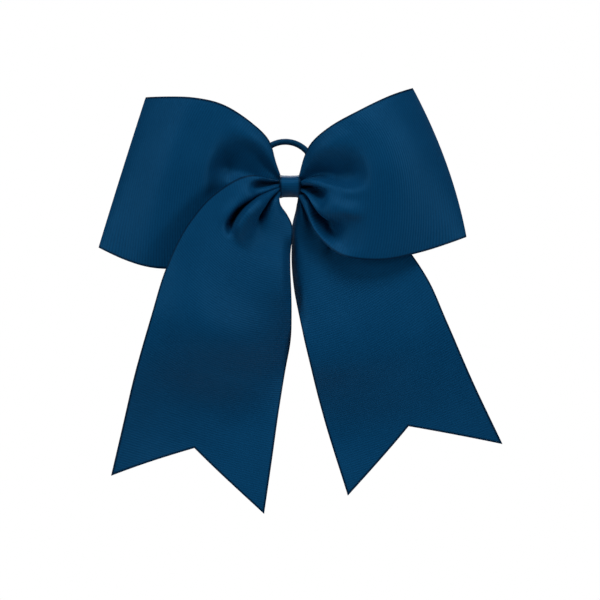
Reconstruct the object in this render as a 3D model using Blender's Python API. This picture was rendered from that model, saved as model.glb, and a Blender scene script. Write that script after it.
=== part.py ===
"""Cheer hair bow: one 76 mm grosgrain ribbon folded into two loops and two fishtail tails,
gathered by thread, wrapped at the knot with a 10 mm ribbon, and held on a round hair elastic.

Row frame: metres, +Z up, the bow's front faces -Y. The origin is the middle of the run of
elastic that the knot's wrap holds, which is also the axis that the elastic swings on.
Shapes are written in millimetres and scaled by MM when a mesh is made.
"""

import math

import bmesh
import bpy
import numpy as np

MM = 0.001

# Driving dimensions, in millimetres.
RIBBON_THICKNESS = 0.5
TAIL_LENGTH = 155.0
NOTCH_DEPTH = 24.0
PLEAT_WAVES = 2.5          # folds across the ribbon beside the knot
PLEAT_DEPTH = 1.3          # their depth where they are deepest
PLEAT_PRESSED = 0.8        # their depth where the thread holds them
BACK_PLEATS = 0.35         # the loops' back layers are pulled flatter, by this share
KNOT_WIDTH = 9.8           # of the ribbon that wraps the knot
NECK = KNOT_WIDTH / 2 + 0.4  # half the distance between the two sides' loops and tails
GATHER_HEIGHT = 9.4
GATHER_DEPTH = 8.8
GATHER_HALF = KNOT_WIDTH / 2 - 0.2
GATHER_Y = -6.3            # middle of the gathered ribbons
LAYER_STEP = 2.9           # depth from one gathered layer to the next
WAIST_CUT = 0.8            # how far the thread pulls the gather in
WAIST_HALF = 1.5
WRAP_THICKNESS = 0.5
THREAD_RADIUS = 0.25
THREAD_TURNS = 4
ELASTIC_RADIUS = 1.5
SHEATH_WALL = 0.35
CORE_RADIUS = 0.9
JOINT_RADIUS = 1.4
JOINT_WALL = 0.3
JOINT_HALF = 2.5           # half length of the elastic's bonded joint
RING_RADIUS = 13.7         # of the elastic's centreline
RING_CENTRE = (-2.3, 8.7)  # across, and up the ring from its held run
RING_FILLET = 3.5
RING_TILT = math.radians(12)
CLEARANCE = 0.3

FRONT_LAYER = GATHER_Y - LAYER_STEP
MIDDLE_LAYER = GATHER_Y
BACK_LAYER = GATHER_Y + LAYER_STEP

# The tails swing about these points beside the knot, in millimetres.
LEFT_TAIL_PIVOT = (-NECK, FRONT_LAYER, 3.6)
RIGHT_TAIL_PIVOT = (NECK, MIDDLE_LAYER, 0)

NAVY = (0.006, 0.048, 0.127)
THREAD_NAVY = (0.008, 0.03, 0.08)
COVER_NAVY = (0.005, 0.03, 0.08)
RUBBER = (0.72, 0.66, 0.52)
GLUE = (0.85, 0.83, 0.74)


def clear_scene():
    for obj in list(bpy.data.objects):
        bpy.data.objects.remove(obj)


def material(name, colour, roughness):
    made = bpy.data.materials.new(name)
    made.use_nodes = True
    shader = made.node_tree.nodes["Principled BSDF"]
    shader.inputs["Base Color"].default_value = (*colour, 1)
    shader.inputs["Roughness"].default_value = roughness
    shader.inputs["Metallic"].default_value = 0
    return made


def add_object(name, data, finish, pivot=(0, 0, 0)):
    data.materials.append(finish)
    obj = bpy.data.objects.new(name, data)
    obj.location = np.array(pivot) * MM
    bpy.context.scene.collection.objects.link(obj)
    return obj


def add_mesh(name, points, faces, finish, pivot=(0, 0, 0)):
    """A mesh object from millimetre points, with its origin at pivot and its faces pointing out."""
    mesh = bpy.data.meshes.new(name)
    mesh.from_pydata((np.asarray(points) - np.array(pivot)) * MM, [], faces)
    shape = bmesh.new()
    shape.from_mesh(mesh)
    bmesh.ops.recalc_face_normals(shape, faces=shape.faces)
    shape.to_mesh(mesh)
    shape.free()
    mesh.shade_smooth()
    mesh.set_sharp_from_angle(angle=math.radians(40))
    return add_object(name, mesh, finish, pivot)


def thicken(obj, thickness, offset):
    solid = obj.modifiers.new("thickness", "SOLIDIFY")
    solid.thickness = thickness * MM
    solid.offset = offset


def sheet_solid(name, grid, thickness, finish, pivot=(0, 0, 0)):
    """A closed sheet of the stated thickness about a grid of points on its middle surface."""
    rows, columns = grid.shape[:2]
    faces = [
        (r * columns + c, (r + 1) * columns + c, (r + 1) * columns + c + 1, r * columns + c + 1)
        for r in range(rows - 1)
        for c in range(columns - 1)
    ]
    thicken(add_mesh(name, grid.reshape(-1, 3), faces, finish, pivot), thickness, offset=0)


def tube(name, path, radius, finish, wall=None, bevel_resolution=2):
    """A round tube along a path: solid with filled ends, or hollow with open ends where wall is given."""
    curve = bpy.data.curves.new(name, "CURVE")
    curve.dimensions = "3D"
    curve.bevel_depth = radius * MM
    curve.bevel_resolution = bevel_resolution
    curve.use_fill_caps = wall is None
    spline = curve.splines.new("POLY")
    spline.points.add(len(path) - 1)
    for point, place in zip(spline.points, path):
        point.co = (*(np.array(place) * MM), 1)
    spline.use_smooth = True
    obj = add_object(name, curve, finish)
    if wall:
        thicken(obj, wall, offset=-1)


def smooth_curve(points, at):
    """Points on a smooth curve through the given ones; at runs from 0 to 1 along its chords."""
    points = np.asarray(points, float)
    knots = np.concatenate([[0], np.cumsum(np.linalg.norm(np.diff(points, axis=0), axis=1))])
    slopes = np.gradient(points, knots, axis=0)
    at = at * knots[-1]
    i = np.clip(np.searchsorted(knots, at, side="right") - 1, 0, len(knots) - 2)
    width = (knots[i + 1] - knots[i])[:, None]
    t = (at - knots[i])[:, None] / width
    return (
        (2 * t**3 - 3 * t**2 + 1) * points[i]
        + (t**3 - 2 * t**2 + t) * width * slopes[i]
        + (3 * t**2 - 2 * t**3) * points[i + 1]
        + (t**3 - t**2) * width * slopes[i + 1]
    )


def across(first, middle, last, v):
    """The ribbon's cross-section: a parabola through its two edges and its middle line."""
    v = v[None, :, None]
    return (
        first[:, None] * (2 * v - 1) * (v - 1)
        + middle[:, None] * 4 * v * (1 - v)
        + last[:, None] * v * (2 * v - 1)
    )


def pleats(u, v, reach):
    """Depth of the gathered folds: pressed at the knot, deepest at half their reach, then fading."""
    rising = PLEAT_PRESSED + (PLEAT_DEPTH - PLEAT_PRESSED) * np.sin(np.clip(u / reach, 0, 1) * math.pi)
    fading = PLEAT_DEPTH * np.cos(np.clip(u / reach - 0.5, 0, 0.5) * math.pi)
    along = np.where(u < reach / 2, rising, fading)
    return along[:, None] * np.cos(2 * math.pi * PLEAT_WAVES * v)[None, :]


def loop_grid(side, outline, front, back, rows=34, columns=14):
    """A loop's middle surface: out from the knot in front, round its end, and back behind.

    outline holds (x, z) for the top edge, the middle line and the bottom edge, from the knot to
    the loop's end. front and back hold the depth of each of those points in each layer.
    """
    rails = []
    for line, near, far in zip(outline, front, back):
        line = [(side * NECK, line[0])] + list(line[1:])
        going = [(x, y, z) for (x, z), y in zip(line, near)]
        coming = [(x, y, z) for (x, z), y in zip(line, far)]
        rails.append(going + coming[-2::-1])
    u = np.linspace(0, 1, rows + 1)
    v = np.linspace(0, 1, columns + 1)
    grid = across(*(smooth_curve(rail, u) for rail in rails), v)
    folds = pleats(2 * np.minimum(u, 1 - u), v, reach=0.5)
    grid[:, :, 1] += np.where(u[:, None] > 0.5, BACK_PLEATS * folds, folds)
    return grid


def tail_grid(rails, rows=16, columns=14):
    """A tail's middle surface, cut to a fishtail notch at its end."""
    u = np.linspace(0, 1, rows + 1)
    v = np.linspace(0, 1, columns + 1)
    fine = np.linspace(0, 1, 12 * rows + 1)
    whole = across(*(smooth_curve(rail, fine) for rail in rails), v)
    whole[:, :, 1] += pleats(fine, v, reach=0.35)
    grid = np.empty((rows + 1, columns + 1, 3))
    for c in range(columns + 1):
        cut = NOTCH_DEPTH / TAIL_LENGTH * (1 - abs(2 * v[c] - 1))
        for axis in range(3):
            grid[:, c, axis] = np.interp(u * (1 - cut), fine, whole[:, c, axis])
    return grid


def make_left_loop(finish):
    outline = (
        (4.3, (-7, 12), (-10, 22), (-19, 31), (-34, 40), (-52, 43), (-69.5, 43)),
        (0, (-11, 1), (-20, 2.5), (-32, 4), (-48, 5.5), (-65, 6.5), (-81, 6.9)),
        (-4.3, (-11, -13), (-21, -24), (-37, -34), (-57, -39.5), (-76, -36.5), (-92.3, -29.2)),
    )
    front = (
        (MIDDLE_LAYER, -7.5, -11, -14, -15, -12, -6),
        (MIDDLE_LAYER, -7.5, -12, -17, -21, -18, -6),
        (MIDDLE_LAYER, -7, -9.5, -12, -13.5, -12, -6.5),
    )
    back = (
        (BACK_LAYER, -2.8, -1.5, 0.5, 2, 0, -6),
        (BACK_LAYER, -2.8, -1.2, 4, 8, 5, -6),
        (BACK_LAYER, -2.8, -1.2, 1.5, 3, 1, -6.5),
    )
    sheet_solid("left_loop", loop_grid(-1, outline, front, back), RIBBON_THICKNESS, finish)


def make_right_loop(finish):
    outline = (
        (4.3, (6.5, 13), (10, 20.5), (19, 28.4), (33, 36.2), (48, 43.5), (59, 47.4)),
        (0, (12, 1), (22, 3), (34, 5), (49, 8), (63.5, 10.5), (75, 11.6)),
        (-4.3, (8, -12), (13, -23), (24, -32.5), (42, -35.4), (63, -31.5), (84.9, -24.2)),
    )
    front = (
        (FRONT_LAYER, -12, -15, -17, -17, -13, -7),
        (FRONT_LAYER, -15, -22, -26, -27, -20, -7),
        (FRONT_LAYER, -12, -17, -21, -22, -17, -7.5),
    )
    back = (
        (BACK_LAYER, -2.8, -1.5, 0.5, 2.5, 1, -7),
        (BACK_LAYER, -2.8, -1.2, 4, 7, 4, -7),
        (BACK_LAYER, -2.6, -0.5, 4, 5, 2, -7.5),
    )
    sheet_solid("right_loop", loop_grid(1, outline, front, back), RIBBON_THICKNESS, finish)


def make_left_tail(finish):
    y = FRONT_LAYER
    outer = ((-NECK, y, 3.6), (-18, -17, 5.3), (-33, -23.5, -0.5), (-48, -25, -17), (-59.5, -22, -40),
             (-72, -15, -82), (-85.8, -11, -138.8))
    middle = ((-NECK, y, 0), (-12, -14, -6), (-19, -19.5, -15), (-25, -21.5, -29), (-29, -19, -52),
              (-37, -14, -88), (-49.2, -11, -148.2))
    inner = ((-NECK - 0.3, y, -3.8), (-7.3, -10.2, -6.8), (-3.9, -12, -11.2), (0.4, -13.5, -20),
             (0.7, -13.2, -46), (-3.5, -12, -95), (-12.5, -12, -157.6))
    grid = tail_grid((outer, middle, inner))
    sheet_solid("left_tail", grid, RIBBON_THICKNESS, finish, LEFT_TAIL_PIVOT)


def make_right_tail(finish):
    y = MIDDLE_LAYER
    inner = ((NECK + 0.3, y, -3.8), (7, -6.4, -6.5), (4.6, -6.5, -11.5), (1.5, -6.2, -25), (3.3, -6, -56),
             (12.5, -7, -98), (27.9, -8, -149))
    middle = ((NECK, y, 0), (9.5, -7, -8), (15, -8.5, -18), (23, -9.5, -30), (33, -9, -53),
              (46, -8, -90), (65, -8, -136.4))
    outer = ((NECK, y, 3.6), (14, -7.3, -1), (29, -9, -9), (48, -9.5, -21), (66, -8.5, -44),
             (83, -6, -82), (102.2, -5, -123.8))
    grid = tail_grid((inner, middle, outer))
    sheet_solid("right_tail", grid, RIBBON_THICKNESS, finish, RIGHT_TAIL_PIVOT)


def rounded_rectangle(depth, height, corner, count):
    """(y, z) points evenly spaced round a rectangle with round corners, centred on 0."""
    half_y, half_z = depth / 2 - corner, height / 2 - corner
    outline = []
    for y, z, start in ((1, 1, 0), (-1, 1, 90), (-1, -1, 180), (1, -1, 270)):
        for angle in np.radians(np.linspace(start, start + 90, 7)):
            outline.append((y * half_y + corner * math.cos(angle), z * half_z + corner * math.sin(angle)))
    outline = np.array(outline + outline[:1])
    along = np.concatenate([[0], np.cumsum(np.linalg.norm(np.diff(outline, axis=0), axis=1))])
    at = np.linspace(0, along[-1], count, endpoint=False)
    return np.stack([np.interp(at, along, outline[:, k]) for k in range(2)], axis=1)


def make_gather(finish):
    """The crushed pleats of all three layers inside the wrap, with a waist for the thread."""
    flutes, around, slope = 12, 36, 0.4
    flute_depth = 0.04
    profile = ((GATHER_HALF, 0), (WAIST_HALF + slope, 0), (WAIST_HALF, WAIST_CUT))
    stations = [(-x, cut) for x, cut in profile] + [(x, cut) for x, cut in profile[::-1]]
    ripple = 1 - flute_depth * np.cos(math.pi * flutes * np.arange(around) / around) ** 2
    points = []
    for x, cut in stations:
        ring = rounded_rectangle(GATHER_DEPTH - 2 * cut, GATHER_HEIGHT - 2 * cut, 2.2, around)
        points += [(x, GATHER_Y + y * r, z * r) for (y, z), r in zip(ring, ripple)]
    faces = []
    for start in range(0, len(points) - around, around):
        for i in range(around):
            j = (i + 1) % around
            faces.append((start + i, start + j, start + around + j, start + around + i))
    faces.append(range(around))
    faces.append(range(len(points) - around, len(points)))
    add_mesh("ribbon_gather", points, faces, finish)


def make_thread(finish):
    """Gathering thread wound round the gather's waist."""
    per_turn = 20
    inset = WAIST_CUT - CLEARANCE / 2 - THREAD_RADIUS
    ring = rounded_rectangle(GATHER_DEPTH - 2 * inset, GATHER_HEIGHT - 2 * inset, 1.9, per_turn)
    pitch = 2 * THREAD_RADIUS + CLEARANCE / 2
    path = []
    for i in range(THREAD_TURNS * per_turn + 1):
        y, z = ring[i % per_turn]
        path.append((pitch * (i / per_turn - THREAD_TURNS / 2), GATHER_Y + y, z))
    tube("gather_thread", path, THREAD_RADIUS, finish, bevel_resolution=1)


def make_wrap(finish):
    """The knot's narrow ribbon: once round the gather and the elastic, and lapped behind."""
    path = (
        (2.15, -2.0), (2.15, 2.0), (1.7, 3.2), (0.3, 4.3), (-2.2, 5.2), (-9.6, 5.2), (-10.9, 4.7),
        (-11.4, 3.4), (-11.4, -3.4), (-10.9, -4.7), (-9.6, -5.2), (-2.2, -5.2), (0.8, -4.5),
        (2.6, -3.3), (3.45, -2.0), (3.45, 2.8),
    )
    grid = np.array([[(x, y, z) for x in (-KNOT_WIDTH / 2, KNOT_WIDTH / 2)] for y, z in path])
    sheet_solid("knot_wrap", grid, WRAP_THICKNESS, finish)


def make_glue(finish):
    """The film of glue between the wrap's two lapped ends."""
    width, depth, height = KNOT_WIDTH - 1.4, 0.4, 3.3
    shape = bmesh.new()
    bmesh.ops.create_cube(shape, size=MM)
    bmesh.ops.scale(shape, vec=(width, depth, height), verts=shape.verts)
    mesh = bpy.data.meshes.new("wrap_glue")
    shape.to_mesh(mesh)
    shape.free()
    add_object("wrap_glue", mesh, finish).location = (0, 2.8 * MM, 0)


def elastic_path(gap):
    """The elastic's centreline: from gap right of its held run's middle, round the ring, to gap left."""
    centre, up = RING_CENTRE
    reach = math.sqrt((RING_RADIUS - RING_FILLET) ** 2 - (up - RING_FILLET) ** 2)
    turn = math.atan2(up - RING_FILLET, reach)

    def arc(x, height, radius, first, last, count):
        return [(x + radius * math.cos(a), height + radius * math.sin(a))
                for a in np.linspace(first, last, count)]

    flat = [(x, 0) for x in np.linspace(gap, centre + reach, 3, endpoint=False)]
    flat += arc(centre + reach, RING_FILLET, RING_FILLET, -math.pi / 2, -turn, 6)
    flat += arc(centre, up, RING_RADIUS, -turn, math.pi + turn, 30)[1:-1]
    flat += arc(centre - reach, RING_FILLET, RING_FILLET, math.pi + turn, 1.5 * math.pi, 6)
    flat += [(x, 0) for x in np.linspace(centre - reach, -gap, 6)[1:]]
    return [(x, s * math.sin(RING_TILT), s * math.cos(RING_TILT)) for x, s in flat]


def make_elastic(cover, rubber, bond):
    """Rubber core closed by a bonded sleeve, inside a braided cover whose ends meet the sleeve."""
    sheath = elastic_path(JOINT_HALF + CLEARANCE)
    tube("elastic_sheath", sheath, ELASTIC_RADIUS, cover, SHEATH_WALL, bevel_resolution=3)
    tube("elastic_core", elastic_path(CLEARANCE / 2), CORE_RADIUS, rubber)
    sleeve = [(x, 0, 0) for x in (-JOINT_HALF, JOINT_HALF)]
    tube("elastic_joint", sleeve, JOINT_RADIUS, bond, JOINT_WALL, bevel_resolution=4)


def main():
    clear_scene()
    grosgrain = material("grosgrain", NAVY, 0.8)
    make_left_loop(grosgrain)
    make_right_loop(grosgrain)
    make_left_tail(grosgrain)
    make_right_tail(grosgrain)
    make_gather(grosgrain)
    make_wrap(grosgrain)
    make_glue(material("hot_glue", GLUE, 0.4))
    make_thread(material("thread", THREAD_NAVY, 0.7))
    make_elastic(
        material("elastic_cover", COVER_NAVY, 0.75),
        material("elastic_rubber", RUBBER, 0.6),
        material("elastic_bond", GLUE, 0.4),
    )


main()
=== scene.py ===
"""Looks of the navy cheer hair bow: ribbed grosgrain loops and tails, knot wrap and hair elastic.

Metres, +Z up, the bow's front faces -Y. Shapes are written in millimetres, as in the CAD model,
and scaled by MM when a mesh is made.
"""

import math

import bmesh
import bpy
import numpy as np
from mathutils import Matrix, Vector


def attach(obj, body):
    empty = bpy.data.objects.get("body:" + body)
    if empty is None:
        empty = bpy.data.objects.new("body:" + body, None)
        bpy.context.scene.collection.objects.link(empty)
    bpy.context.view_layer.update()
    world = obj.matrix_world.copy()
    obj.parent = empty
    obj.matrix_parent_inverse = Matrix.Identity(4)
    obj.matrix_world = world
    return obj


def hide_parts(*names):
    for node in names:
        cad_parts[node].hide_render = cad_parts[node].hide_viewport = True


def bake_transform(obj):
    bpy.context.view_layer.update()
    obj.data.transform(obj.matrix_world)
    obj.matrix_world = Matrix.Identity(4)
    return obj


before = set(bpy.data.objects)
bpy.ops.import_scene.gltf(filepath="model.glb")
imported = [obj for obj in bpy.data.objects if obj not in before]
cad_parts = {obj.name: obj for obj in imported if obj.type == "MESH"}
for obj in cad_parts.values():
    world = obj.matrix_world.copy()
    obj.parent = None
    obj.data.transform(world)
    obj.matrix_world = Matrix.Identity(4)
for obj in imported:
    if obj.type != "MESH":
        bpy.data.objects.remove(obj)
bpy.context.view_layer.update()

MM = 0.001
WEAVE_PLACE = "ribbon_place"  # the mesh attribute that holds each point's place in the weave

# The wide ribbon, in millimetres.
WIDTH = 76.0
COLUMNS = 64               # faces across the ribbon
COARSE_STEP = 1.5          # between the rows that the folds are worked out on
RIB_PITCH = 1.1
ROWS_PER_RIB = 4
HALF_THICKNESS = 0.17      # between the cords, which stand RIB_HEIGHT proud
RIB_HEIGHT = 0.10
WARP_PITCH = 0.24          # between the fine threads along the ribbon
SELVAGE = 1.1              # width of the flat woven edge
NOTCH_DEPTH = 22.5         # of the fishtail cut, on the ribbon's middle line
NOTCH_SLOPE = NOTCH_DEPTH / (WIDTH / 2)

# Distances from the knot at which the folds are described.
STATIONS = np.array((0, 6, 12, 18, 26, 38))
DEEPEST_AT_KNOT = 0.8      # the largest size that the folds may have at the knot
DEEPENING = 0.55           # and how much it grows with each millimetre from the knot
HALVINGS = 14              # steps of the search for a row's size
POINTS_PER_FOLD = 24

# The ribbons start this far out from the middle, hidden under the wrap, in the gather's three
# layers, which lie as deep as in the CAD model.
NECK = 4.3
FRONT_LAYER = -9.2
MIDDLE_LAYER = -6.3
BACK_LAYER = -3.4

# The crushed gather under the knot and the thread round its waist.
GATHER_HALF = 4.6
GATHER_DEPTH = 8.6
GATHER_HEIGHT = 8.6
GATHER_Y = -6.3
WAIST_HALF = 1.5
WAIST_SHARE = 0.14         # how much of its size the gather loses at its waist
PLEAT_SHARE = 0.055        # depth of its fine pleats, as a share of its size
THREAD_RADIUS = 0.25
THREAD_TWIST = 1.3         # length of one turn of the thread's two plies

# The wrap round the gather and the elastic.
KNOT_HALF = 5.0
WAIST_BELOW = 0.9          # how far the wrap follows the gather's waist, under and over it
WAIST_ABOVE = 0.3

# The hair elastic: its ring and bonded joint, as in the CAD model, and its plaited cover.
RING_CENTRE = (-2.3, 8.7)  # across and up the ring's own tilted plane
RING_RADIUS = 13.7
RING_FILLET = 3.5
RING_TILT = math.radians(12)
ELASTIC_RADIUS = 1.5
JOINT_HALF = 2.5
STRANDS = 10               # plaited strands each way round the elastic
STRAND_PITCH = 1.15
BRAID_HEIGHT = 0.08
COVER_THICKNESS = 0.35

# The studio, in metres.
BOW_MIDDLE = (0, 0, -0.05)
FLOOR_RADIUS = 0.6
FLOOR_HEIGHT = -0.45       # the bow hangs clear of it
WORLD_FILL = 0.07          # the white background's light on the bow


# ---------------------------------------------------------------- curves and surfaces

def chords(points):
    """How far along its chords each point of a polyline lies."""
    steps = np.linalg.norm(np.diff(np.asarray(points, float), axis=0), axis=1)
    return np.concatenate([[0], np.cumsum(steps)])


def through(points, knots, at):
    """Values at the places `at` of a smooth curve that passes points at knots."""
    points = np.asarray(points, float)
    slopes = np.gradient(points, knots, axis=0)
    i = np.clip(np.searchsorted(knots, at, side="right") - 1, 0, len(knots) - 2)
    width = (knots[i + 1] - knots[i])[:, None]
    t = (at - knots[i])[:, None] / width
    return (
        (2 * t**3 - 3 * t**2 + 1) * points[i]
        + (t**3 - 2 * t**2 + t) * width * slopes[i]
        + (3 * t**2 - 2 * t**3) * points[i + 1]
        + (t**3 - t**2) * width * slopes[i + 1]
    )


def smoothstep(x, low, high):
    """0 up to low and 1 from high on, with a smooth step between them."""
    t = np.clip((x - low) / (high - low), 0, 1)
    return t * t * (3 - 2 * t)


def parabolas(first, middle, last, v):
    """Rows of points on parabolas through three rails; v runs from 0 to 1 across them."""
    v = v[None, :, None]
    return (
        first[:, None] * (2 * v - 1) * (v - 1)
        + middle[:, None] * 4 * v * (1 - v)
        + last[:, None] * v * (2 * v - 1)
    )


def unit(vectors):
    return vectors / np.linalg.norm(vectors, axis=-1, keepdims=True)


def normals(grid):
    return unit(np.cross(np.gradient(grid, axis=0), np.gradient(grid, axis=1)))


def folded(base, side, along, folds):
    """The ribbon laid in folds over a smooth base, which take up its width towards the knot.

    base is a grid of rows across the ribbon, side turns its normals outwards, and along is each
    row's distance from the knot. folds lists the ridges and valleys in their order across the
    ribbon. Each has its place between the edges, 0 to 1, and its height, at every one of STATIONS.
    The heights in a row are scaled together until the row is as long as the ribbon is wide, or
    until they reach their largest size. Past the last station there are no folds, only the base.
    """
    rows = len(base)
    outward = normals(base) * side
    spots = np.linspace(0, 1, base.shape[1])
    order = np.arange(len(folds))
    fine = np.linspace(0, len(folds) - 1, POINTS_PER_FOLD * (len(folds) - 1) + 1)
    places = np.empty((rows, len(fine)))
    heights = np.empty((rows, len(fine)))
    stations = [through(np.array(fold).T, STATIONS, np.clip(along, 0, STATIONS[-1])) for fold in folds]
    for row in range(rows):
        marks = np.array([fold[row] for fold in stations])
        both = through(marks, order, fine)
        places[row], heights[row] = np.clip(both[:, 0], 0, 1), both[:, 1]

    def laid(row, size):
        points = np.empty((len(fine), 3))
        for k in range(3):
            points[:, k] = np.interp(places[row], spots, base[row, :, k])
            points[:, k] += np.interp(places[row], spots, outward[row, :, k]) * heights[row] * size
        return points

    sizes = np.empty(rows)
    for row in range(rows):
        low, high = 0, DEEPEST_AT_KNOT + DEEPENING * along[row]
        for _ in range(HALVINGS):
            size = (low + high) / 2
            if chords(laid(row, size))[-1] < WIDTH:
                low = size
            else:
                high = size
        sizes[row] = size
    # Each row's size is brought closer to its neighbours'.
    for _ in range(4):
        sizes[1:-1] = (sizes[:-2] + 2 * sizes[1:-1] + sizes[2:]) / 4
    grid = np.empty((rows, COLUMNS + 1, 3))
    for row in range(rows):
        points = laid(row, sizes[row])
        lengths = chords(points)
        for k in range(3):
            grid[row, :, k] = np.interp(np.linspace(0, lengths[-1], COLUMNS + 1), lengths, points[:, k])
    return grid


def eased(grid, rounds):
    """A few rounds of smoothing along and across the ribbon, as its stiffness gives it."""
    for _ in range(rounds):
        moved = grid.copy()
        moved[1:-1] = (grid[:-2] + 2 * grid[1:-1] + grid[2:]) / 4
        moved[1:-1, 1:-1] = (moved[1:-1, :-2] + 2 * moved[1:-1, 1:-1] + moved[1:-1, 2:]) / 4
        grid = moved
    return grid


# ---------------------------------------------------------------- ribbon shapes

def loop(side, outline, front, back, front_folds, back_folds):
    """A loop's middle surface, from the knot out in front, round its end, and back behind.

    outline holds (x, z) for the top edge, the middle line and the bottom edge, from the knot to
    the loop's end; front and back hold the depth of each of those points.
    """
    rails = []
    for line, near, far in zip(outline, front, back):
        line = [(side * NECK, line[0])] + list(line[1:])
        going = [(x, y, z) for (x, z), y in zip(line, near)]
        coming = [(x, y, z) for (x, z), y in zip(line, far)][::-1]
        out, home = chords(going), chords(coming)
        knots = np.concatenate([out / out[-1], 1 + home[1:] / home[-1]])
        rails.append((going + coming[1:], knots, out[-1]))
    reach = rails[1][2]
    half = round(reach / COARSE_STEP)
    u = np.linspace(0, 2, 2 * half + 1)
    lines = [through(points, knots, u) for points, knots, _ in rails]
    base = parabolas(*lines, np.linspace(0, 1, 2 * COLUMNS + 1))
    from_knot = np.minimum(u, 2 - u) * reach
    facing = folded(base, -side, from_knot, front_folds)
    behind = folded(base, -side, from_knot, back_folds)
    share = smoothstep(u, 0.9, 1.1)[:, None, None]
    return eased(facing * (1 - share) + behind * share, 2)


def tail(rails, folds, inner_column, curl):
    """A tail's middle surface down to its tips; the notch is cut later.

    Between two distances from the knot the edge beside the other tail curls back: curl holds
    those distances, how far in from the edge the curl begins, and how far back it takes the edge.
    inner_column is 0 or 1 and says whether that edge is the first rail or the last.
    """
    length = chords(rails[1])[-1]
    u = np.linspace(0, 1, round(length / COARSE_STEP) + 1)
    lines = []
    for points in rails:
        knots = chords(points)
        lines.append(through(points, knots / knots[-1], u))
    across = np.linspace(0, 1, 2 * COLUMNS + 1)
    base = parabolas(*lines, across)
    first, last, curl_width, curl_depth = curl
    here = smoothstep(u * length, first, first + 10) * (1 - smoothstep(u * length, last - 20, last))
    near = np.clip(1 - np.abs(across - inner_column) * WIDTH / curl_width, 0, 1) ** 2
    base[:, :, 1] += curl_depth * here[:, None] * near[None, :]
    return eased(folded(base, 1, u * length, folds), 2)


def left_loop():
    """The left loop, which starts in the gather's middle layer and lies behind the left tail."""
    outline = (
        (4.3, (-7, 12), (-10, 22), (-19, 31), (-34, 40), (-46, 42.5), (-58, 43.1), (-69.5, 43)),
        (0, (-11, 1), (-20, 2.5), (-32, 4), (-48, 5.5), (-58.5, 6.2), (-70.5, 6.7), (-81, 6.9)),
        (-4.3, (-11, -13), (-21, -24), (-37, -34), (-56, -39.4), (-67.5, -38.8), (-80, -35),
         (-92.3, -29.2)),
    )
    front = (
        (MIDDLE_LAYER, -9, -13.2, -17, -20, -20.5, -15.5, -6),
        (MIDDLE_LAYER, -8.6, -12.8, -16, -19, -19.5, -14.5, -6),
        (MIDDLE_LAYER, -7.5, -10, -12, -13.5, -14, -11, -6.5),
    )
    back = (
        (BACK_LAYER, -3.8, -2.8, 1, 4.5, 5, 2, -6),
        (BACK_LAYER, -4, -2.8, 3, 7.5, 7.5, 3.5, -6),
        (BACK_LAYER, -3.8, -2.4, 1, 3, 2.5, 0, -6.5),
    )
    front_folds = (
        ((0.00, 0.00, 0.00, 0.00, 0.00, 0.00), (0.0, 0.0, 0.0, 0.0, 0.0, 0)),
        ((0.08, 0.08, 0.08, 0.09, 0.10, 0.10), (0.4, 0.4, 0.4, 0.3, 0.2, 0)),
        ((0.20, 0.19, 0.19, 0.20, 0.20, 0.20), (-0.5, -0.4, -0.4, -0.3, -0.1, 0)),
        ((0.32, 0.29, 0.28, 0.28, 0.28, 0.28), (0.1, -0.4, -0.5, -0.45, -0.3, 0)),
        ((0.39, 0.37, 0.37, 0.37, 0.37, 0.37), (-0.3, -0.5, -0.65, -0.7, -0.5, 0)),
        ((0.46, 0.45, 0.45, 0.45, 0.45, 0.45), (-0.5, -0.6, -0.75, -0.8, -0.6, 0)),
        ((0.55, 0.54, 0.54, 0.54, 0.54, 0.54), (0.3, 0.3, 0.2, 0.0, -0.3, 0)),
        ((0.63, 0.62, 0.62, 0.62, 0.62, 0.62), (-0.6, -0.6, -0.6, -0.5, -0.3, 0)),
        ((0.71, 0.70, 0.70, 0.70, 0.70, 0.70), (0.6, 0.6, 0.6, 0.4, 0.1, 0)),
        ((0.79, 0.78, 0.78, 0.78, 0.78, 0.78), (-0.6, -0.6, -0.6, -0.5, -0.1, 0)),
        ((0.87, 0.86, 0.86, 0.86, 0.86, 0.86), (0.6, 0.7, 0.7, 0.6, 0.2, 0)),
        ((0.94, 0.94, 0.94, 0.94, 0.94, 0.94), (-0.6, -0.6, -0.6, -0.5, -0.2, 0)),
        ((1.00, 1.00, 1.00, 1.00, 1.00, 1.00), (0.2, 0.2, 0.2, 0.1, 0.0, 0)),
    )
    return loop(-1, outline, front, back, front_folds, BACK_FOLDS)


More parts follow.
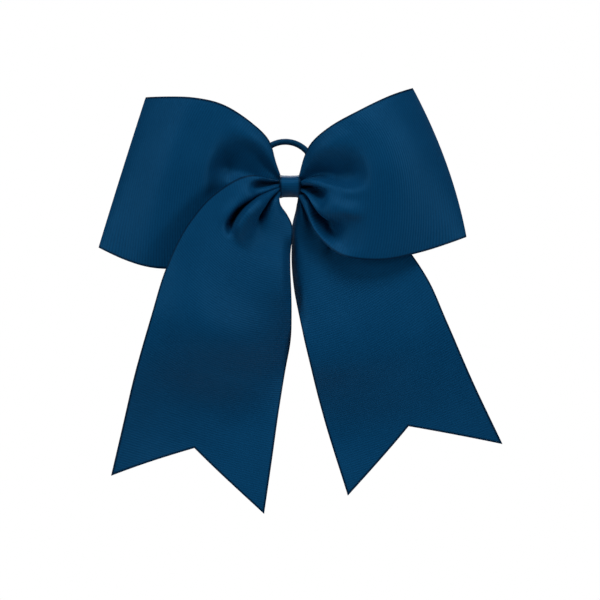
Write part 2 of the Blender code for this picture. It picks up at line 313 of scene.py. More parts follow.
def right_loop():
    """The right loop, which starts in front; the right tail hangs between its two halves."""
    outline = (
        (4.3, (6.5, 13), (10, 20.5), (19, 28.4), (33, 36.2), (48, 43.5), (59, 47.4)),
        (0, (12, 1), (22, 3), (34, 5), (49, 8), (63.5, 10.5), (75, 11.6)),
        (-4.3, (8, -12), (13, -23), (24, -32.5), (42, -35.4), (63, -31.5), (84.9, -24.2)),
    )
    front = (
        (FRONT_LAYER, -12.5, -19, -24, -25.5, -19.5, -7),
        (FRONT_LAYER, -14, -20.5, -25, -26.5, -20.5, -7),
        (FRONT_LAYER, -12, -15.8, -18, -19, -15.5, -7.5),
    )
    back = (
        (BACK_LAYER, -3.6, -1, 2.5, 4.5, 3, -7),
        (BACK_LAYER, -3.8, 0.2, 4.8, 7, 4, -7),
        (BACK_LAYER, -3.6, 0.2, 4.5, 5, 2, -7.5),
    )
    front_folds = (
        ((0.00, 0.00, 0.00, 0.00, 0.00, 0.00), (0.0, 0.0, 0.0, 0.0, 0.0, 0)),
        ((0.10, 0.12, 0.13, 0.15, 0.16, 0.16), (0.5, 0.5, 0.5, 0.4, 0.2, 0)),
        ((0.26, 0.30, 0.38, 0.46, 0.48, 0.48), (-0.6, -0.8, -1.1, -1.0, -0.5, 0)),
        ((0.34, 0.37, 0.44, 0.54, 0.60, 0.60), (0.7, 0.9, 0.9, 0.4, 0.1, 0)),
        ((0.44, 0.47, 0.54, 0.61, 0.66, 0.66), (0.5, 0.8, 0.9, 0.3, 0.1, 0)),
        ((0.47, 0.54, 0.62, 0.68, 0.74, 0.76), (-0.8, -1.5, -1.0, 0.5, 0.3, 0)),
        ((0.66, 0.70, 0.80, 0.84, 0.80, 0.80), (0.7, 0.9, 1.0, 0.6, 0.1, 0)),
        ((0.70, 0.72, 0.83, 0.88, 0.89, 0.88), (-0.8, -1.1, -1.35, -1.25, -0.3, 0)),
        ((0.78, 0.78, 0.90, 0.93, 0.94, 0.94), (-0.5, -0.8, -1.2, -1.25, -0.3, 0)),
        ((0.88, 0.87, 0.965, 0.985, 0.98, 0.97), (0.2, 0.4, 0.3, 0.1, 0.0, 0)),
        ((1.00, 1.00, 1.00, 1.00, 1.00, 1.00), (0.3, 0.3, 0.2, 0.1, 0.1, 0)),
    )
    return loop(1, outline, front, back, front_folds, BACK_FOLDS)


# Both loops are pleated alike behind.
BACK_FOLDS = tuple(
    ((place,) * 6, (height, height, height, 0.8 * height, 0.4 * height, 0))
    for place, height in (
        (0.00, 0.1), (0.07, 0.5), (0.14, -0.5), (0.22, 0.4), (0.29, -0.5), (0.36, 0.5), (0.43, -0.5),
        (0.50, 0.5), (0.57, -0.5), (0.64, 0.4), (0.71, -0.5), (0.78, 0.5), (0.86, -0.5), (0.93, 0.5),
        (1.00, -0.1),
    )
)


def left_tail():
    """The left tail, in front of its loop; outer, middle and inner run from the knot to its tips."""
    y = FRONT_LAYER
    outer = ((-NECK, y, 2.4), (-11, -13.8, 3.2), (-19, -19.2, 5.4), (-33, -24, -1.2), (-48, -25, -17),
             (-59.5, -25, -40), (-66, -26, -61), (-74.8, -21, -92), (-80, -16, -114),
             (-85.8, -15, -138.8))
    middle = ((-NECK, y, 0), (-12, -16, -6), (-19, -21, -15), (-25, -22.5, -29), (-29, -23.5, -50),
              (-33, -24.5, -71), (-37.5, -15.5, -89), (-41.2, -5, -106), (-44.5, -3, -121),
              (-49.2, -4, -148.2))
    inner = ((-NECK, y, -3.8), (-6.8, -11.4, -6.6), (-4.2, -13.2, -9.7), (-0.9, -13.8, -14.5),
             (1.3, -13.6, -19.5), (1.1, -13.8, -25), (0.2, -15, -30), (0, -17, -38), (0.45, -15, -50),
             (0.7, -8.5, -61), (0.2, -1.5, -74), (-2.3, 2, -88), (-4.7, 1.5, -103),
             (-8.5, -1, -130), (-12.5, -2, -157.6))
    folds = (
        ((0.00, 0.00, 0.00, 0.00, 0.00, 0.00), (0.2, 0.4, 0.5, 0.3, 0.1, 0)),
        ((0.04, 0.04, 0.05, 0.07, 0.10, 0.10), (0.6, 0.8, 0.9, 0.4, 0.1, 0)),
        ((0.06, 0.07, 0.10, 0.16, 0.18, 0.18), (-0.7, -1.3, -0.9, 0.3, 0.1, 0)),
        ((0.14, 0.16, 0.18, 0.20, 0.22, 0.22), (-0.3, -0.6, -0.2, 0.4, 0.2, 0)),
        ((0.24, 0.26, 0.26, 0.26, 0.25, 0.25), (0.6, 0.8, 0.7, 0.45, 0.2, 0)),
        ((0.38, 0.37, 0.36, 0.33, 0.28, 0.28), (0.5, 0.7, 0.7, 0.3, 0.1, 0)),
        ((0.42, 0.40, 0.395, 0.39, 0.37, 0.38), (-0.8, -1.0, -1.0, -1.1, -1.0, 0)),
        ((0.42, 0.40, 0.385, 0.375, 0.375, 0.40), (0.7, 0.9, 0.9, 0.9, 0.7, 0)),
        ((0.50, 0.54, 0.55, 0.54, 0.50, 0.50), (0.4, 0.7, 0.8, 0.8, 0.5, 0)),
        ((0.57, 0.60, 0.62, 0.63, 0.62, 0.60), (-0.8, -1.1, -1.3, -0.8, -0.1, 0)),
        ((0.60, 0.62, 0.64, 0.65, 0.65, 0.65), (-0.7, -1.0, -1.2, -0.6, -0.1, 0)),
        ((0.66, 0.67, 0.69, 0.71, 0.74, 0.76), (0.6, 0.9, 0.7, 0.3, 0.0, 0)),
        ((1.00, 1.00, 1.00, 1.00, 1.00, 1.00), (-0.2, -0.1, 0, 0, 0, 0)),
    )
    return tail((outer, middle, inner), folds, 1, (24, 66, 6, 9))


def right_tail():
    """The right tail, inside its loop; inner, middle and outer run from the knot to its tips."""
    y = MIDDLE_LAYER
    inner = ((NECK, y, -3.8), (3.6, -6.6, -6.5), (3.2, -7.3, -10), (1.3, -9, -18), (1.0, -9.3, -26),
             (0.9, -8.4, -36), (2.2, -8, -50), (4.3, -8.5, -61), (6.9, -9.5, -74), (9.3, -8.5, -84),
             (13.2, 0, -100), (17, 5, -114), (27.9, 4, -149))
    middle = ((NECK, y, 0), (9.5, -6.8, -8), (15, -6, -18), (23, -7.2, -30), (33, -10, -51),
              (38.5, -11.5, -68), (42, -10.5, -79), (48, -4, -96), (53.5, 1.5, -112),
              (65, 1, -136.4))
    outer = ((NECK, y, 3.6), (14, -7, -1), (29, -7, -9), (48, -9.5, -21), (66, -11, -44),
             (75, -12, -64), (88, -9.5, -94), (102.2, -7, -123.8))
    folds = (
        ((0.00, 0.00, 0.00, 0.00, 0.00, 0.00), (0.0, 0.0, 0.0, 0.0, 0.0, 0)),
        ((0.09, 0.10, 0.11, 0.11, 0.11, 0.11), (-0.3, -0.25, -0.2, -0.1, 0.0, 0)),
        ((0.17, 0.19, 0.20, 0.22, 0.22, 0.22), (0.4, 0.3, 0.25, 0.1, 0.0, 0)),
        ((0.26, 0.28, 0.30, 0.33, 0.33, 0.33), (-0.5, -0.4, -0.35, -0.15, 0.0, 0)),
        ((0.34, 0.37, 0.40, 0.42, 0.42, 0.42), (0.5, 0.45, 0.4, 0.25, 0.1, 0)),
        ((0.42, 0.45, 0.48, 0.50, 0.50, 0.50), (-0.5, -0.5, -0.5, -0.45, -0.3, 0)),
        ((0.50, 0.53, 0.55, 0.57, 0.57, 0.57), (0.5, 0.5, 0.5, 0.5, 0.4, 0)),
        ((0.58, 0.60, 0.62, 0.64, 0.64, 0.64), (-0.5, -0.5, -0.5, -0.5, -0.4, 0)),
        ((0.66, 0.67, 0.68, 0.71, 0.71, 0.71), (0.5, 0.5, 0.5, 0.5, 0.4, 0)),
        ((0.75, 0.75, 0.75, 0.78, 0.78, 0.78), (-0.5, -0.5, -0.5, -0.5, -0.4, 0)),
        ((0.82, 0.82, 0.82, 0.85, 0.85, 0.85), (0.5, 0.5, 0.5, 0.5, 0.4, 0)),
        ((0.91, 0.91, 0.91, 0.93, 0.93, 0.93), (-0.5, -0.5, -0.4, -0.4, -0.3, 0)),
        ((1.00, 1.00, 1.00, 1.00, 1.00, 1.00), (0.2, 0.2, 0.1, 0.0, 0, 0)),
    )
    return tail((inner, middle, outer), folds, 0, (2, 68, 5.5, 8))


# ---------------------------------------------------------------- ribbon meshes

def rib_height(distance):
    """The weft cords of the grosgrain, as a height from 0 to 1 at a distance along the ribbon."""
    return np.abs(np.cos(math.pi * distance / RIB_PITCH)) ** 0.8


def flat_mesh(rows, row_step, notch):
    """The flat cut ribbon, as points (place across, distance along), faces and edges of its rim."""
    shape = bmesh.new()
    across = np.linspace(0, WIDTH, COLUMNS + 1)
    verts = [[shape.verts.new((x, r * row_step, 0)) for x in across] for r in range(rows + 1)]
    for r in range(rows):
        for c in range(COLUMNS):
            shape.faces.new((verts[r][c], verts[r + 1][c], verts[r + 1][c + 1], verts[r][c + 1]))
    if notch:
        end = rows * row_step
        apex = Vector((WIDTH / 2, end - NOTCH_DEPTH, 0))
        for tip in (Vector((0, end, 0)), Vector((WIDTH, end, 0))):
            edge = (tip - apex).normalized()
            bmesh.ops.bisect_plane(
                shape, geom=shape.verts[:] + shape.edges[:] + shape.faces[:], dist=1e-4,
                plane_co=apex, plane_no=Vector((-edge.y, edge.x, 0)),
            )
        gone = []
        for face in shape.faces:
            centre = face.calc_center_median()
            if centre.y - apex.y > NOTCH_SLOPE * abs(centre.x - apex.x):
                gone.append(face)
        bmesh.ops.delete(shape, geom=gone, context="FACES")
        loose = [vert for vert in shape.verts if not vert.link_faces]
        bmesh.ops.delete(shape, geom=loose, context="VERTS")
    shape.verts.index_update()
    points = np.array([vert.co[:2] for vert in shape.verts])
    faces = [[vert.index for vert in face.verts] for face in shape.faces]
    rim = [
        [loop.vert.index, loop.link_loop_next.vert.index]
        for edge in shape.edges if len(edge.link_loops) == 1
        for loop in edge.link_loops
    ]
    shape.free()
    return points, faces, rim


def sampled(grid, row, column):
    """Values of a grid at fractional rows and columns: smooth along rows, straight across columns."""
    c = np.clip(np.floor(column).astype(int), 0, grid.shape[1] - 2)
    share = (column - c)[:, None]
    r = np.clip(np.floor(row).astype(int), 0, grid.shape[0] - 2)
    t = (row - r)[:, None]
    slopes = np.gradient(grid, axis=0)

    def along(c):
        return (
            (2 * t**3 - 3 * t**2 + 1) * grid[r, c] + (t**3 - 2 * t**2 + t) * slopes[r, c]
            + (3 * t**2 - 2 * t**3) * grid[r + 1, c] + (t**3 - t**2) * slopes[r + 1, c]
        )

    return along(c) * (1 - share) + along(c + 1) * share


def solid(name, points, faces, material, place=None):
    """An object from points in millimetres; place holds each point's place in the weave, if it has one."""
    mesh = bpy.data.meshes.new(name)
    mesh.from_pydata(points * MM, [], faces)
    if place is not None:
        weave = mesh.attributes.new(WEAVE_PLACE, "FLOAT_VECTOR", "POINT")
        weave.data.foreach_set("vector", place.ravel())
    shape = bmesh.new()
    shape.from_mesh(mesh)
    bmesh.ops.recalc_face_normals(shape, faces=shape.faces)
    shape.to_mesh(mesh)
    shape.free()
    mesh.materials.append(material)
    mesh.shade_smooth()
    mesh.set_sharp_from_angle(angle=math.radians(60))
    obj = bpy.data.objects.new(name, mesh)
    bpy.context.scene.collection.objects.link(obj)
    return obj


def ribbon(name, grid, material, notch=False):
    """A closed ribbon mesh with real ribs and selvages about a coarse grid of its middle surface."""
    length = COARSE_STEP * (len(grid) - 1)
    ribs = round(length / RIB_PITCH)
    rows = ribs * ROWS_PER_RIB
    points, faces, rim = flat_mesh(rows, length / rows, notch)
    row = points[:, 1] / COARSE_STEP
    column = points[:, 0] / WIDTH * COLUMNS
    middle = sampled(grid, row, column)
    normal = unit(sampled(normals(grid), row, column))
    from_edge = np.minimum(points[:, 0], WIDTH - points[:, 0])
    ribbed = smoothstep(from_edge, 0.3 * SELVAGE, SELVAGE)
    half = HALF_THICKNESS + RIB_HEIGHT * rib_height(points[:, 1]) * (0.25 + 0.75 * ribbed)
    count = len(points)
    both = np.concatenate([middle + normal * half[:, None], middle - normal * half[:, None]])
    shell = list(faces)
    shell += [[count + i for i in reversed(face)] for face in faces]
    shell += [[b, a, count + a, count + b] for a, b in rim]
    inside = from_edge
    if notch:
        to_cut = length - NOTCH_DEPTH + NOTCH_SLOPE * np.abs(points[:, 0] - WIDTH / 2) - points[:, 1]
        inside = np.minimum(inside, to_cut / math.hypot(1, NOTCH_SLOPE))
    place = np.stack([points[:, 0], points[:, 1], inside], axis=1)  # across, along, from the edge
    return solid(name, both, shell, material, np.tile(place, (2, 1)))


# ---------------------------------------------------------------- knot and elastic

def closed_strip(outer, inner, loops_round):
    """Points and faces of a solid between two grids; its columns may join up into a tube."""
    rows, columns = outer.shape[:2]
    count = rows * columns
    points = np.concatenate([outer.reshape(-1, 3), inner.reshape(-1, 3)])
    faces = []
    width = columns if loops_round else columns - 1
    for r in range(rows - 1):
        for c in range(width):
            a, b = r * columns + c, r * columns + (c + 1) % columns
            faces.append((a, a + columns, b + columns, b))
            faces.append((count + b, count + b + columns, count + a + columns, count + a))
    for c in range(width):
        for r, turned in ((0, False), (rows - 1, True)):
            a, b = r * columns + c, r * columns + (c + 1) % columns
            rim = (a, b, count + b, count + a)
            faces.append(rim[::-1] if turned else rim)
    if not loops_round:
        for r in range(rows - 1):
            for c, turned in ((0, True), (columns - 1, False)):
                a, b = r * columns + c, (r + 1) * columns + c
                rim = (a, b, count + b, count + a)
                faces.append(rim[::-1] if turned else rim)
    return points, faces


def knot_wrap(material):
    """The narrow ribbon once round the gather and the elastic, waisted below, its end lapped behind."""
    path = (
        (2.2, -2.0), (2.2, 0), (2.15, 2.0), (1.6, 3.3), (0.3, 4.4), (-2.2, 5.2), (-6, 5.4), (-9.0, 5.2),
        (-11.3, 4.3), (-12.5, 2.8), (-12.8, 1.1), (-12.1, -0.9), (-10.9, -2.8), (-9.6, -4.2), (-7.9, -5.0),
        (-5.5, -5.3), (-2.2, -5.2), (0.8, -4.5), (2.6, -3.3), (3.4, -2.0), (3.45, 0.4), (3.4, 2.8),
    )
    knots = chords(path)
    length = knots[-1]
    rows = round(length / RIB_PITCH) * ROWS_PER_RIB
    along = np.linspace(0, length, rows + 1)
    line = through(path, knots, along)
    columns = 28
    x = np.linspace(-KNOT_HALF, KNOT_HALF, columns + 1)
    waist = 1 - (x / KNOT_HALF) ** 2
    centre = np.array((GATHER_Y, 0))
    grid = np.empty((rows + 1, columns + 1, 3))
    under = smoothstep(-line[:, 1], 1.0, 5.0) * smoothstep(-line[:, 0], -1.0, 3.0)
    over = smoothstep(line[:, 1], 1.0, 5.0) * smoothstep(-line[:, 0], -1.0, 3.0)
    pull = WAIST_BELOW * under + WAIST_ABOVE * over
    inward = unit(centre - line)
    creases = 0.05 * np.cos(2.1 * x + 0.6) * (1 - 0.5 * waist)
    for c in range(columns + 1):
        grid[:, c, 0] = x[c] * (1 - 0.05 * pull)
        grid[:, c, 1:] = line + inward * (pull * waist[c] + creases[c])[:, None]
    outward = normals(grid)
    ribbed = smoothstep(KNOT_HALF - np.abs(x), 0.2, 0.7)
    ribs = 0.75 * RIB_HEIGHT * rib_height(along)[:, None, None] * ribbed[None, :, None]
    half = HALF_THICKNESS + ribs
    points, faces = closed_strip(grid + outward * half, grid - outward * half, False)
    flat = np.zeros(grid.shape)
    flat[:, :, 0] = x[None, :]
    flat[:, :, 1] = along[:, None]
    flat[:, :, 2] = (KNOT_HALF - np.abs(x))[None, :]
    place = np.concatenate([flat.reshape(-1, 3)] * 2)
    return solid("knot_wrap_ribbon", points, faces, material, place), length


def oval(half_depth, half_height, angles):
    """(y, z) offsets round a squarish oval."""
    y, z = np.cos(angles), np.sin(angles)
    round_out = (np.abs(y) ** 3 + np.abs(z) ** 3) ** (-1 / 3)
    return y * round_out * half_depth, z * round_out * half_height


def crushed_gather(material):
    """The three layers' pleats crushed together under the wrap, drawn in to a waist by the thread."""
    pleats, around, stations = 34, 340, 41
    angles = 2 * math.pi * np.arange(around) / around
    x = np.linspace(-GATHER_HALF, GATHER_HALF, stations)
    waist = 1 - smoothstep(np.abs(x), WAIST_HALF, GATHER_HALF)
    y, z = oval(GATHER_DEPTH / 2, GATHER_HEIGHT / 2, angles)
    wander = 0.5 * np.sin(0.7 * x)[:, None] * np.sin(3 * angles)[None, :]
    pleat = np.abs(np.sin(pleats * angles[None, :] / 2 + wander))
    size = 1 - WAIST_SHARE * waist[:, None] - PLEAT_SHARE * (1 - pleat) ** 1.5
    grid = np.stack([np.broadcast_to(x[:, None], size.shape), GATHER_Y + y * size, z * size], axis=2)
    ends = [(-GATHER_HALF, GATHER_Y, 0), (GATHER_HALF, GATHER_Y, 0)]
    points = np.concatenate([grid.reshape(-1, 3), ends])
    faces = []
    last = (stations - 1) * around
    for i in range(around):
        j = (i + 1) % around
        for start in range(0, last, around):
            faces.append((start + i, start + j, start + around + j, start + around + i))
        faces.append((j, i, len(points) - 2))
        faces.append((last + i, last + j, len(points) - 1))
    return solid("crushed_gather", points, faces, material)


def tube(path, side, other, angles, radius):
    """A ring of points at every point of a path, in the plane of the unit vectors side and other."""
    turned = side[:, None] * np.cos(angles)[None, :, None] + other[:, None] * np.sin(angles)[None, :, None]
    return path[:, None] + radius * turned


def winding_thread(material):
    """Two-ply gathering thread wound round the waist, its ends tucked into the pleats."""
    per_turn, around, turns = 160, 14, 4
    t = np.linspace(0, turns, turns * per_turn + 1)
    half_depth, half_height = ((1 - WAIST_SHARE) * size / 2 for size in (GATHER_DEPTH, GATHER_HEIGHT))
    y, z = oval(half_depth + THREAD_RADIUS, half_height + THREAD_RADIUS, 2 * math.pi * t)
    tuck = 1 - 0.12 * (1 - smoothstep(np.minimum(t, turns - t), 0, 0.12))
    pitch = 2.3 * THREAD_RADIUS
    path = np.stack([pitch * (t - turns / 2), GATHER_Y + y * tuck, z * tuck], axis=1)
    tangent = unit(np.gradient(path, axis=0))
    side = unit(np.array((1.0, 0, 0)) - tangent * tangent[:, :1])
    angles = 2 * math.pi * np.arange(around) / around
    twist = angles[None, :] - chords(path)[:, None] * 2 * math.pi / THREAD_TWIST
    radius = THREAD_RADIUS * (0.72 + 0.28 * np.abs(np.cos(twist)))[:, :, None]
    rings = tube(path, side, np.cross(tangent, side), angles, radius)
    count = len(rings) * around
    points = np.concatenate([rings.reshape(-1, 3), path[:1], path[-1:]])
    faces = []
    for r in range(len(rings) - 1):
        for c in range(around):
            a, b = r * around + c, r * around + (c + 1) % around
            faces.append((a, b, b + around, a + around))
    for c in range(around):
        d = (c + 1) % around
        faces.append((d, c, count))
        faces.append((count - around + c, count - around + d, count + 1))
    return solid("winding_thread", points, faces, material)


def elastic_path(gap, step):
    """The elastic's centreline, as in the CAD model, in even steps round its ring."""
    centre, up = RING_CENTRE
    reach = math.sqrt((RING_RADIUS - RING_FILLET) ** 2 - (up - RING_FILLET) ** 2)
    turn = math.atan2(up - RING_FILLET, reach)

    def arc(x, height, radius, first, last, count):
        return [(x + radius * math.cos(a), height + radius * math.sin(a))
                for a in np.linspace(first, last, count)]

    flat = [(x, 0) for x in np.linspace(gap, centre + reach, 8, endpoint=False)]
    flat += arc(centre + reach, RING_FILLET, RING_FILLET, -math.pi / 2, -turn, 24)
    flat += arc(centre, up, RING_RADIUS, -turn, math.pi + turn, 180)[1:-1]
    flat += arc(centre - reach, RING_FILLET, RING_FILLET, math.pi + turn, 1.5 * math.pi, 24)
    flat += [(x, 0) for x in np.linspace(centre - reach, -gap, 16)[1:]]
    flat = np.array(flat)
    lengths = chords(flat)
    even = np.linspace(0, lengths[-1], round(lengths[-1] / step) + 1)
    x, s = (np.interp(even, lengths, flat[:, k]) for k in range(2))
    return np.stack([x, s * math.sin(RING_TILT), s * math.cos(RING_TILT)], axis=1), even


def elastic_cover(material):
    """The elastic's plaited cover: a tube whose strands cross in a fine diamond weave."""
    path, along = elastic_path(JOINT_HALF + 0.3, 0.16)
    around = 64
    angles = 2 * math.pi * np.arange(around) / around
    side = np.array([(0, math.cos(RING_TILT), -math.sin(RING_TILT))])
    other = np.cross(unit(np.gradient(path, axis=0)), side)
    spin = STRANDS * angles[None, :] / (2 * math.pi)
    rise = along[:, None] / STRAND_PITCH
    weave = np.abs(np.sin(math.pi * (spin + rise)) * np.sin(math.pi * (spin - rise)))
    radius = ELASTIC_RADIUS - BRAID_HEIGHT * (1 - weave ** 0.7)
    outer = tube(path, side, other, angles, radius[:, :, None])
    inner = tube(path, side, other, angles, ELASTIC_RADIUS - COVER_THICKNESS)
    points, faces = closed_strip(outer, inner, True)
    flat = np.stack(np.broadcast_arrays(spin, rise, weave), axis=2)
    place = np.concatenate([flat.reshape(-1, 3)] * 2)
    return solid("elastic_cover", points, faces, material, place)


# ---------------------------------------------------------------- materials

class Shader:
    """A material's node tree, with a short way to add and join nodes."""

    def __init__(self, name):
        self.material = bpy.data.materials.new(name)
        self.material.use_nodes = True
        self.tree = self.material.node_tree
        self.surface = self.tree.nodes["Principled BSDF"]

    def feed(self, socket, value):
        """Links another node's output to a socket, or sets the socket's own value."""
        if isinstance(value, bpy.types.NodeSocket):
            self.tree.links.new(value, socket)
        elif socket.type == "RGBA":
            socket.default_value = (*value, 1)
        else:
            socket.default_value = value

    def node(self, kind, settings=None, **inputs):
        """A new node; inputs are named as on the node, or i0, i1 and so on by their number."""
        made = self.tree.nodes.new(kind)
        for key, value in (settings or {}).items():
            setattr(made, key, value)
        for key, value in inputs.items():
            numbered = key[0] == "i" and key[1:].isdigit()
            self.feed(made.inputs[int(key[1:]) if numbered else key], value)
        return made

    def math(self, operation, a, b=0.0):
        return self.node("ShaderNodeMath", {"operation": operation}, i0=a, i1=b).outputs[0]

    def weave_place(self):
        return self.node("ShaderNodeAttribute", {"attribute_name": WEAVE_PLACE}).outputs["Vector"]

    def object_place(self):
        return self.node("ShaderNodeTexCoord").outputs["Object"]

    def scaled(self, vector, scale):
        return self.node("ShaderNodeMapping", Vector=vector, Scale=scale).outputs[0]

    def noise(self, vector, scale, detail=3.0):
        return self.node("ShaderNodeTexNoise", Vector=vector, Scale=scale, Detail=detail).outputs["Fac"]

    def ramp(self, value, low, high, start, end):
        """A value brought from the range low to high to the range start to end."""
        made = self.node("ShaderNodeMapRange", {"clamp": True}, Value=value)
        for key, number in zip(("From Min", "From Max", "To Min", "To Max"), (low, high, start, end)):
            made.inputs[key].default_value = number
        return made.outputs["Result"]

    def mix(self, share, first, second):
        """A mix of two colours, which are the Mix node's inputs 6 and 7."""
        made = self.node("ShaderNodeMix", {"data_type": "RGBA"}, i0=share)
        self.feed(made.inputs[6], first)
        self.feed(made.inputs[7], second)
        return made.outputs[2]

    def set(self, **inputs):
        """Sets the surface's own inputs, whose names are written with _ for a space."""
        for key, value in inputs.items():
            self.feed(self.surface.inputs[key.replace("_", " ")], value)

    def bump(self, height, distance, strength=1.0):
        made = self.node("ShaderNodeBump", Height=height, Distance=distance, Strength=strength)
        self.tree.links.new(made.outputs["Normal"], self.surface.inputs["Normal"])


# The ribbon's colours: on its cords, the painted shade between them, in its slubs, the painted shade at
# its edges, and its gleam.
NAVY = (0.0008, 0.0365, 0.102)
NAVY_GROOVE_SHADE = (0.0004, 0.021, 0.060)
NAVY_PALE = (0.0022, 0.045, 0.120)
NAVY_EDGE_SHADE = (0.0003, 0.008, 0.026)
NAVY_GLEAM = (0.1, 0.5, 1.0)


def grosgrain():
    """Ribbed polyester ribbon: cords across it, fine warp threads along it, pale slubs, painted shade
    between the cords and along the edges.
    """
    made = Shader("grosgrain_navy")
    place = made.weave_place()
    parts = made.node("ShaderNodeSeparateXYZ", Vector=place)
    across, along = parts.outputs["X"], parts.outputs["Y"]
    cord = made.math("ABSOLUTE", made.math("COSINE", made.math("MULTIPLY", along, math.pi / RIB_PITCH)))
    warp = made.math("SINE", made.math("MULTIPLY", across, 2 * math.pi / WARP_PITCH))
    # The mask of the painted edge shade: 0 at the selvages and cut ends, 1 from 1.15 mm in.
    edge = made.ramp(parts.outputs["Z"], 0.7, 1.15, 0.0, 1.0)
    slub = made.noise(made.scaled(place, (0.12, 0.9, 1)), 1.0)
    cloud = made.noise(place, 0.035, 2.0)
    ridge = made.ramp(cord, 0.0, 0.8, 0.0, 1.0)
    # Painted shade in the grooves: the colour darkens between the cords.
    colour = made.mix(ridge, NAVY_GROOVE_SHADE, NAVY)
    colour = made.mix(made.ramp(slub, 0.45, 0.8, 0.0, 0.4), colour, NAVY_PALE)
    colour = made.mix(made.ramp(cloud, 0.35, 0.7, 0.0, 0.35), colour, NAVY_PALE)
    # Painted shade along the selvages and cut ends, darkening the ribbon's outline.
    colour = made.mix(edge, NAVY_EDGE_SHADE, colour)
    weave = made.math("ADD", made.math("MULTIPLY", warp, 0.35), made.math("MULTIPLY", slub, 0.8))
    made.set(
        Base_Color=colour,
        Roughness=made.ramp(slub, 0.2, 0.8, 0.50, 0.41),
        Specular_IOR_Level=0.24,
        Specular_Tint=NAVY_GLEAM,
        Sheen_Weight=0.05,
        Sheen_Roughness=0.45,
        Sheen_Tint=(0.12, 0.42, 0.9),
    )
    made.bump(weave, 0.00004, 0.6)
    return made.material


def elastic_yarn():
    """Plaited yarn, with painted shade where its strands dip under each other, and pale stray fibres."""
    made = Shader("elastic_yarn_navy")
    place = made.weave_place()
    weave = made.node("ShaderNodeSeparateXYZ", Vector=place).outputs["Z"]
    fibre = made.noise(made.scaled(place, (14, 2.5, 1)), 1.0)
    dip_shade_mask = made.ramp(weave, 0.0, 0.6, 0.0, 1.0)
    # Painted shade: darker where the strands dip under each other.
    colour = made.mix(dip_shade_mask, (0.0012, 0.020, 0.054), (0.0018, 0.043, 0.112))
    colour = made.mix(made.ramp(fibre, 0.4, 0.8, 0.0, 0.5), colour, (0.004, 0.055, 0.138))
    made.set(
        Base_Color=colour,
        Roughness=made.ramp(fibre, 0.2, 0.8, 0.66, 0.54),
        Specular_IOR_Level=0.18,
        Specular_Tint=NAVY_GLEAM,
        Sheen_Weight=0.03,
        Sheen_Roughness=0.4,
        Sheen_Tint=(0.2, 0.45, 0.9),
    )
    made.bump(fibre, 0.00005, 0.5)
    return made.material


def thread_material():
    """Two-ply polyester sewing thread."""
    made = Shader("polyester_thread_navy")
    twist = made.node(
        "ShaderNodeTexWave", {"bands_direction": "DIAGONAL"},
        Vector=made.object_place(), Scale=1400.0, Distortion=0.6,
    ).outputs["Fac"]
    made.set(
        Base_Color=made.mix(twist, (0.003, 0.012, 0.032), (0.009, 0.034, 0.09)),
        Roughness=made.ramp(twist, 0, 1, 0.7, 0.5),
        Sheen_Weight=0.1,
        Sheen_Tint=(0.3, 0.5, 0.9),
    )
    made.bump(twist, 0.00006, 0.7)
    return made.material


def glue_material(name):
    """Cream glue, blotchy and slightly glossy."""
    made = Shader(name)
    blotch = made.noise(made.object_place(), 260.0, 4.0)
    made.set(
        Base_Color=made.mix(blotch, (0.74, 0.70, 0.58), (0.88, 0.86, 0.78)),
        Roughness=made.ramp(blotch, 0.3, 0.7, 0.25, 0.42),
        Subsurface_Weight=0.25,
        Subsurface_Scale=0.001,
        Coat_Weight=0.2,
        Coat_Roughness=0.3,
    )
    made.bump(blotch, 0.0001, 0.4)
    return made.material


def rubber_material():
    """Natural rubber with a pale, patchy bloom."""
    made = Shader("latex_core")
    grain = made.noise(made.object_place(), 900.0, 4.0)
    bloom = made.noise(made.object_place(), 120.0, 2.0)
    made.set(
        Base_Color=made.mix(bloom, (0.60, 0.53, 0.38), (0.76, 0.71, 0.58)),
        Roughness=made.ramp(grain, 0.3, 0.7, 0.5, 0.66),
        Subsurface_Weight=0.15,
        Subsurface_Scale=0.001,
    )
    made.bump(grain, 0.00005, 0.5)
    return made.material


def pressed_grosgrain():
    """The crushed ribbon inside the knot, its ribs seen on edge, with painted shade between them."""
    made = Shader("grosgrain_pressed")
    ribs = made.node(
        "ShaderNodeTexWave", {"bands_direction": "X"},
        Vector=made.object_place(), Scale=290.0, Distortion=1.5, Detail=2.0,
    ).outputs["Fac"]
    made.set(
        # Painted shade between the ribs.
        Base_Color=made.mix(ribs, NAVY_GROOVE_SHADE, NAVY),
        Roughness=made.ramp(ribs, 0, 1, 0.75, 0.6),
        Specular_IOR_Level=0.22,
        Specular_Tint=(0.25, 0.55, 1.0),
    )
    made.bump(ribs, 0.0001, 0.6)
    return made.material


def plain_material(name, colour, roughness):
    made = Shader(name)
    made.set(Base_Color=colour, Roughness=roughness)
    return made.material


# ---------------------------------------------------------------- stage

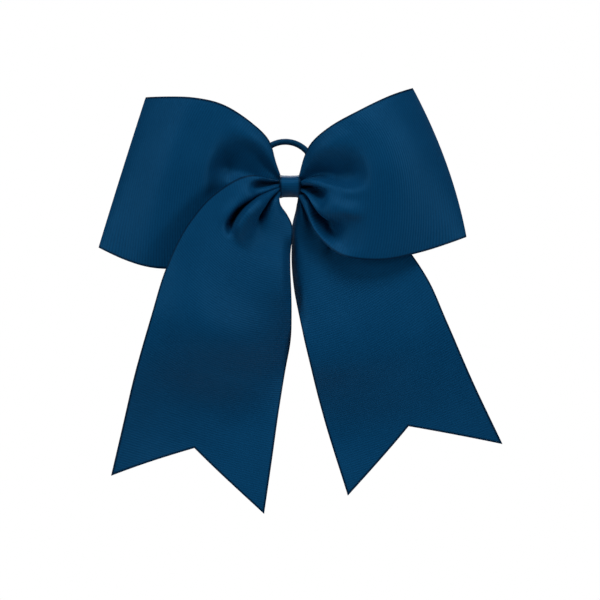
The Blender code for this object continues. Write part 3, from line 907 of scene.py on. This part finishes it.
def stage():
    """The camera straight in front, a plain pale floor far below and a white background."""
    scene = bpy.context.scene
    scene.view_settings.view_transform = "Standard"
    world = bpy.data.worlds.new("studio")
    world.use_nodes = True
    glow = world.node_tree.nodes["Background"]
    glow.inputs["Color"].default_value = (1, 1, 1, 1)
    seen = world.node_tree.nodes.new("ShaderNodeLightPath").outputs["Is Camera Ray"]
    strength = world.node_tree.nodes.new("ShaderNodeMapRange")
    strength.inputs["To Min"].default_value = WORLD_FILL
    world.node_tree.links.new(seen, strength.inputs["Value"])
    world.node_tree.links.new(strength.outputs["Result"], glow.inputs["Strength"])
    scene.world = world
    camera = bpy.data.cameras.new("camera")
    distance, view_width = 3.0, 0.2893  # metres, to the bow and across the picture there
    camera.lens = camera.sensor_width * distance / view_width
    camera.clip_end = 20
    obj = bpy.data.objects.new("camera", camera)
    obj.location = (0.0048, -distance, -0.0545)
    obj.rotation_euler = (math.radians(90), 0, 0)
    scene.collection.objects.link(obj)
    scene.camera = obj
    shape = bmesh.new()
    bmesh.ops.create_circle(shape, cap_ends=True, segments=96, radius=FLOOR_RADIUS)
    bmesh.ops.translate(shape, vec=(0, 0, FLOOR_HEIGHT), verts=shape.verts)
    mesh = bpy.data.meshes.new("floor")
    shape.to_mesh(mesh)
    shape.free()
    mesh.materials.append(plain_material("floor", (0.6, 0.6, 0.6), 0.9))
    floor = bpy.data.objects.new("floor", mesh)
    scene.collection.objects.link(floor)


def light(name, place, size, power):
    """A softbox that faces the bow."""
    lamp = bpy.data.lights.new(name, "AREA")
    lamp.shape = "RECTANGLE"
    lamp.size, lamp.size_y = size
    lamp.energy = power
    obj = bpy.data.objects.new(name, lamp)
    obj.location = place
    obj.rotation_euler = (Vector(BOW_MIDDLE) - Vector(place)).to_track_quat("-Z", "Y").to_euler()
    bpy.context.scene.collection.objects.link(obj)


def studio_lights():
    light("top_softbox", (0, -0.8, 1.0), (0.9, 0.5), 12)
    light("left_softbox", (-1.06, -0.83, 0.1), (0.3, 0.7), 6.8)
    light("back_softbox", (0, 0.95, 0.85), (0.9, 0.5), 10)
    light("right_softbox", (1.06, -0.83, 0.1), (0.3, 0.7), 7.4)


# ---------------------------------------------------------------- pieces

def wide_ribbon(navy):
    """The loops, which ride on the bow, and the tails beside the knot."""
    loops = (
        ("ribbon_left_loop", left_loop(), "left_loop"),
        ("ribbon_right_loop", right_loop(), "right_loop"),
    )
    for name, grid, node in loops:
        obj = ribbon(name, grid, navy)
        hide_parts(node)
        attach(obj, "bow")
    tails = (
        ("ribbon_left_tail", left_tail(), "left_tail",
         (-0.006, -0.010, 0.003), (-0.028, -0.020, -0.030)),
        ("ribbon_right_tail", right_tail(), "right_tail",
         (0.006, -0.007, 0.001), (0.025, -0.009, -0.030)),
    )
    for name, grid, node, start, end in tails:
        obj = ribbon(name, grid, navy, notch=True)
        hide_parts(node)
        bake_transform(obj)


def knot(navy):
    wrap, length = knot_wrap(navy)
    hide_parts("knot_wrap")
    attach(wrap, "bow")


def hair_elastic():
    cover = elastic_cover(elastic_yarn())
    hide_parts("elastic_sheath")
    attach(cover, "hair_elastic")


def gather_and_thread():
    gather = crushed_gather(pressed_grosgrain())
    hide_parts("ribbon_gather")
    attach(gather, "bow")
    thread = winding_thread(thread_material())
    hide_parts("gather_thread")
    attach(thread, "bow")


def carried_over():
    """Finishes for the CAD nodes that are shown as they are."""
    finishes = (
        ("wrap_glue", glue_material("hot_glue")),
        ("elastic_joint", glue_material("elastic_bond")),
        ("elastic_core", rubber_material()),
    )
    for name, finish in finishes:
        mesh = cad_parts[name].data
        mesh.materials.clear()
        mesh.materials.append(finish)


def main():
    stage()
    studio_lights()
    navy = grosgrain()
    wide_ribbon(navy)
    knot(navy)
    hair_elastic()
    gather_and_thread()
    carried_over()


main()
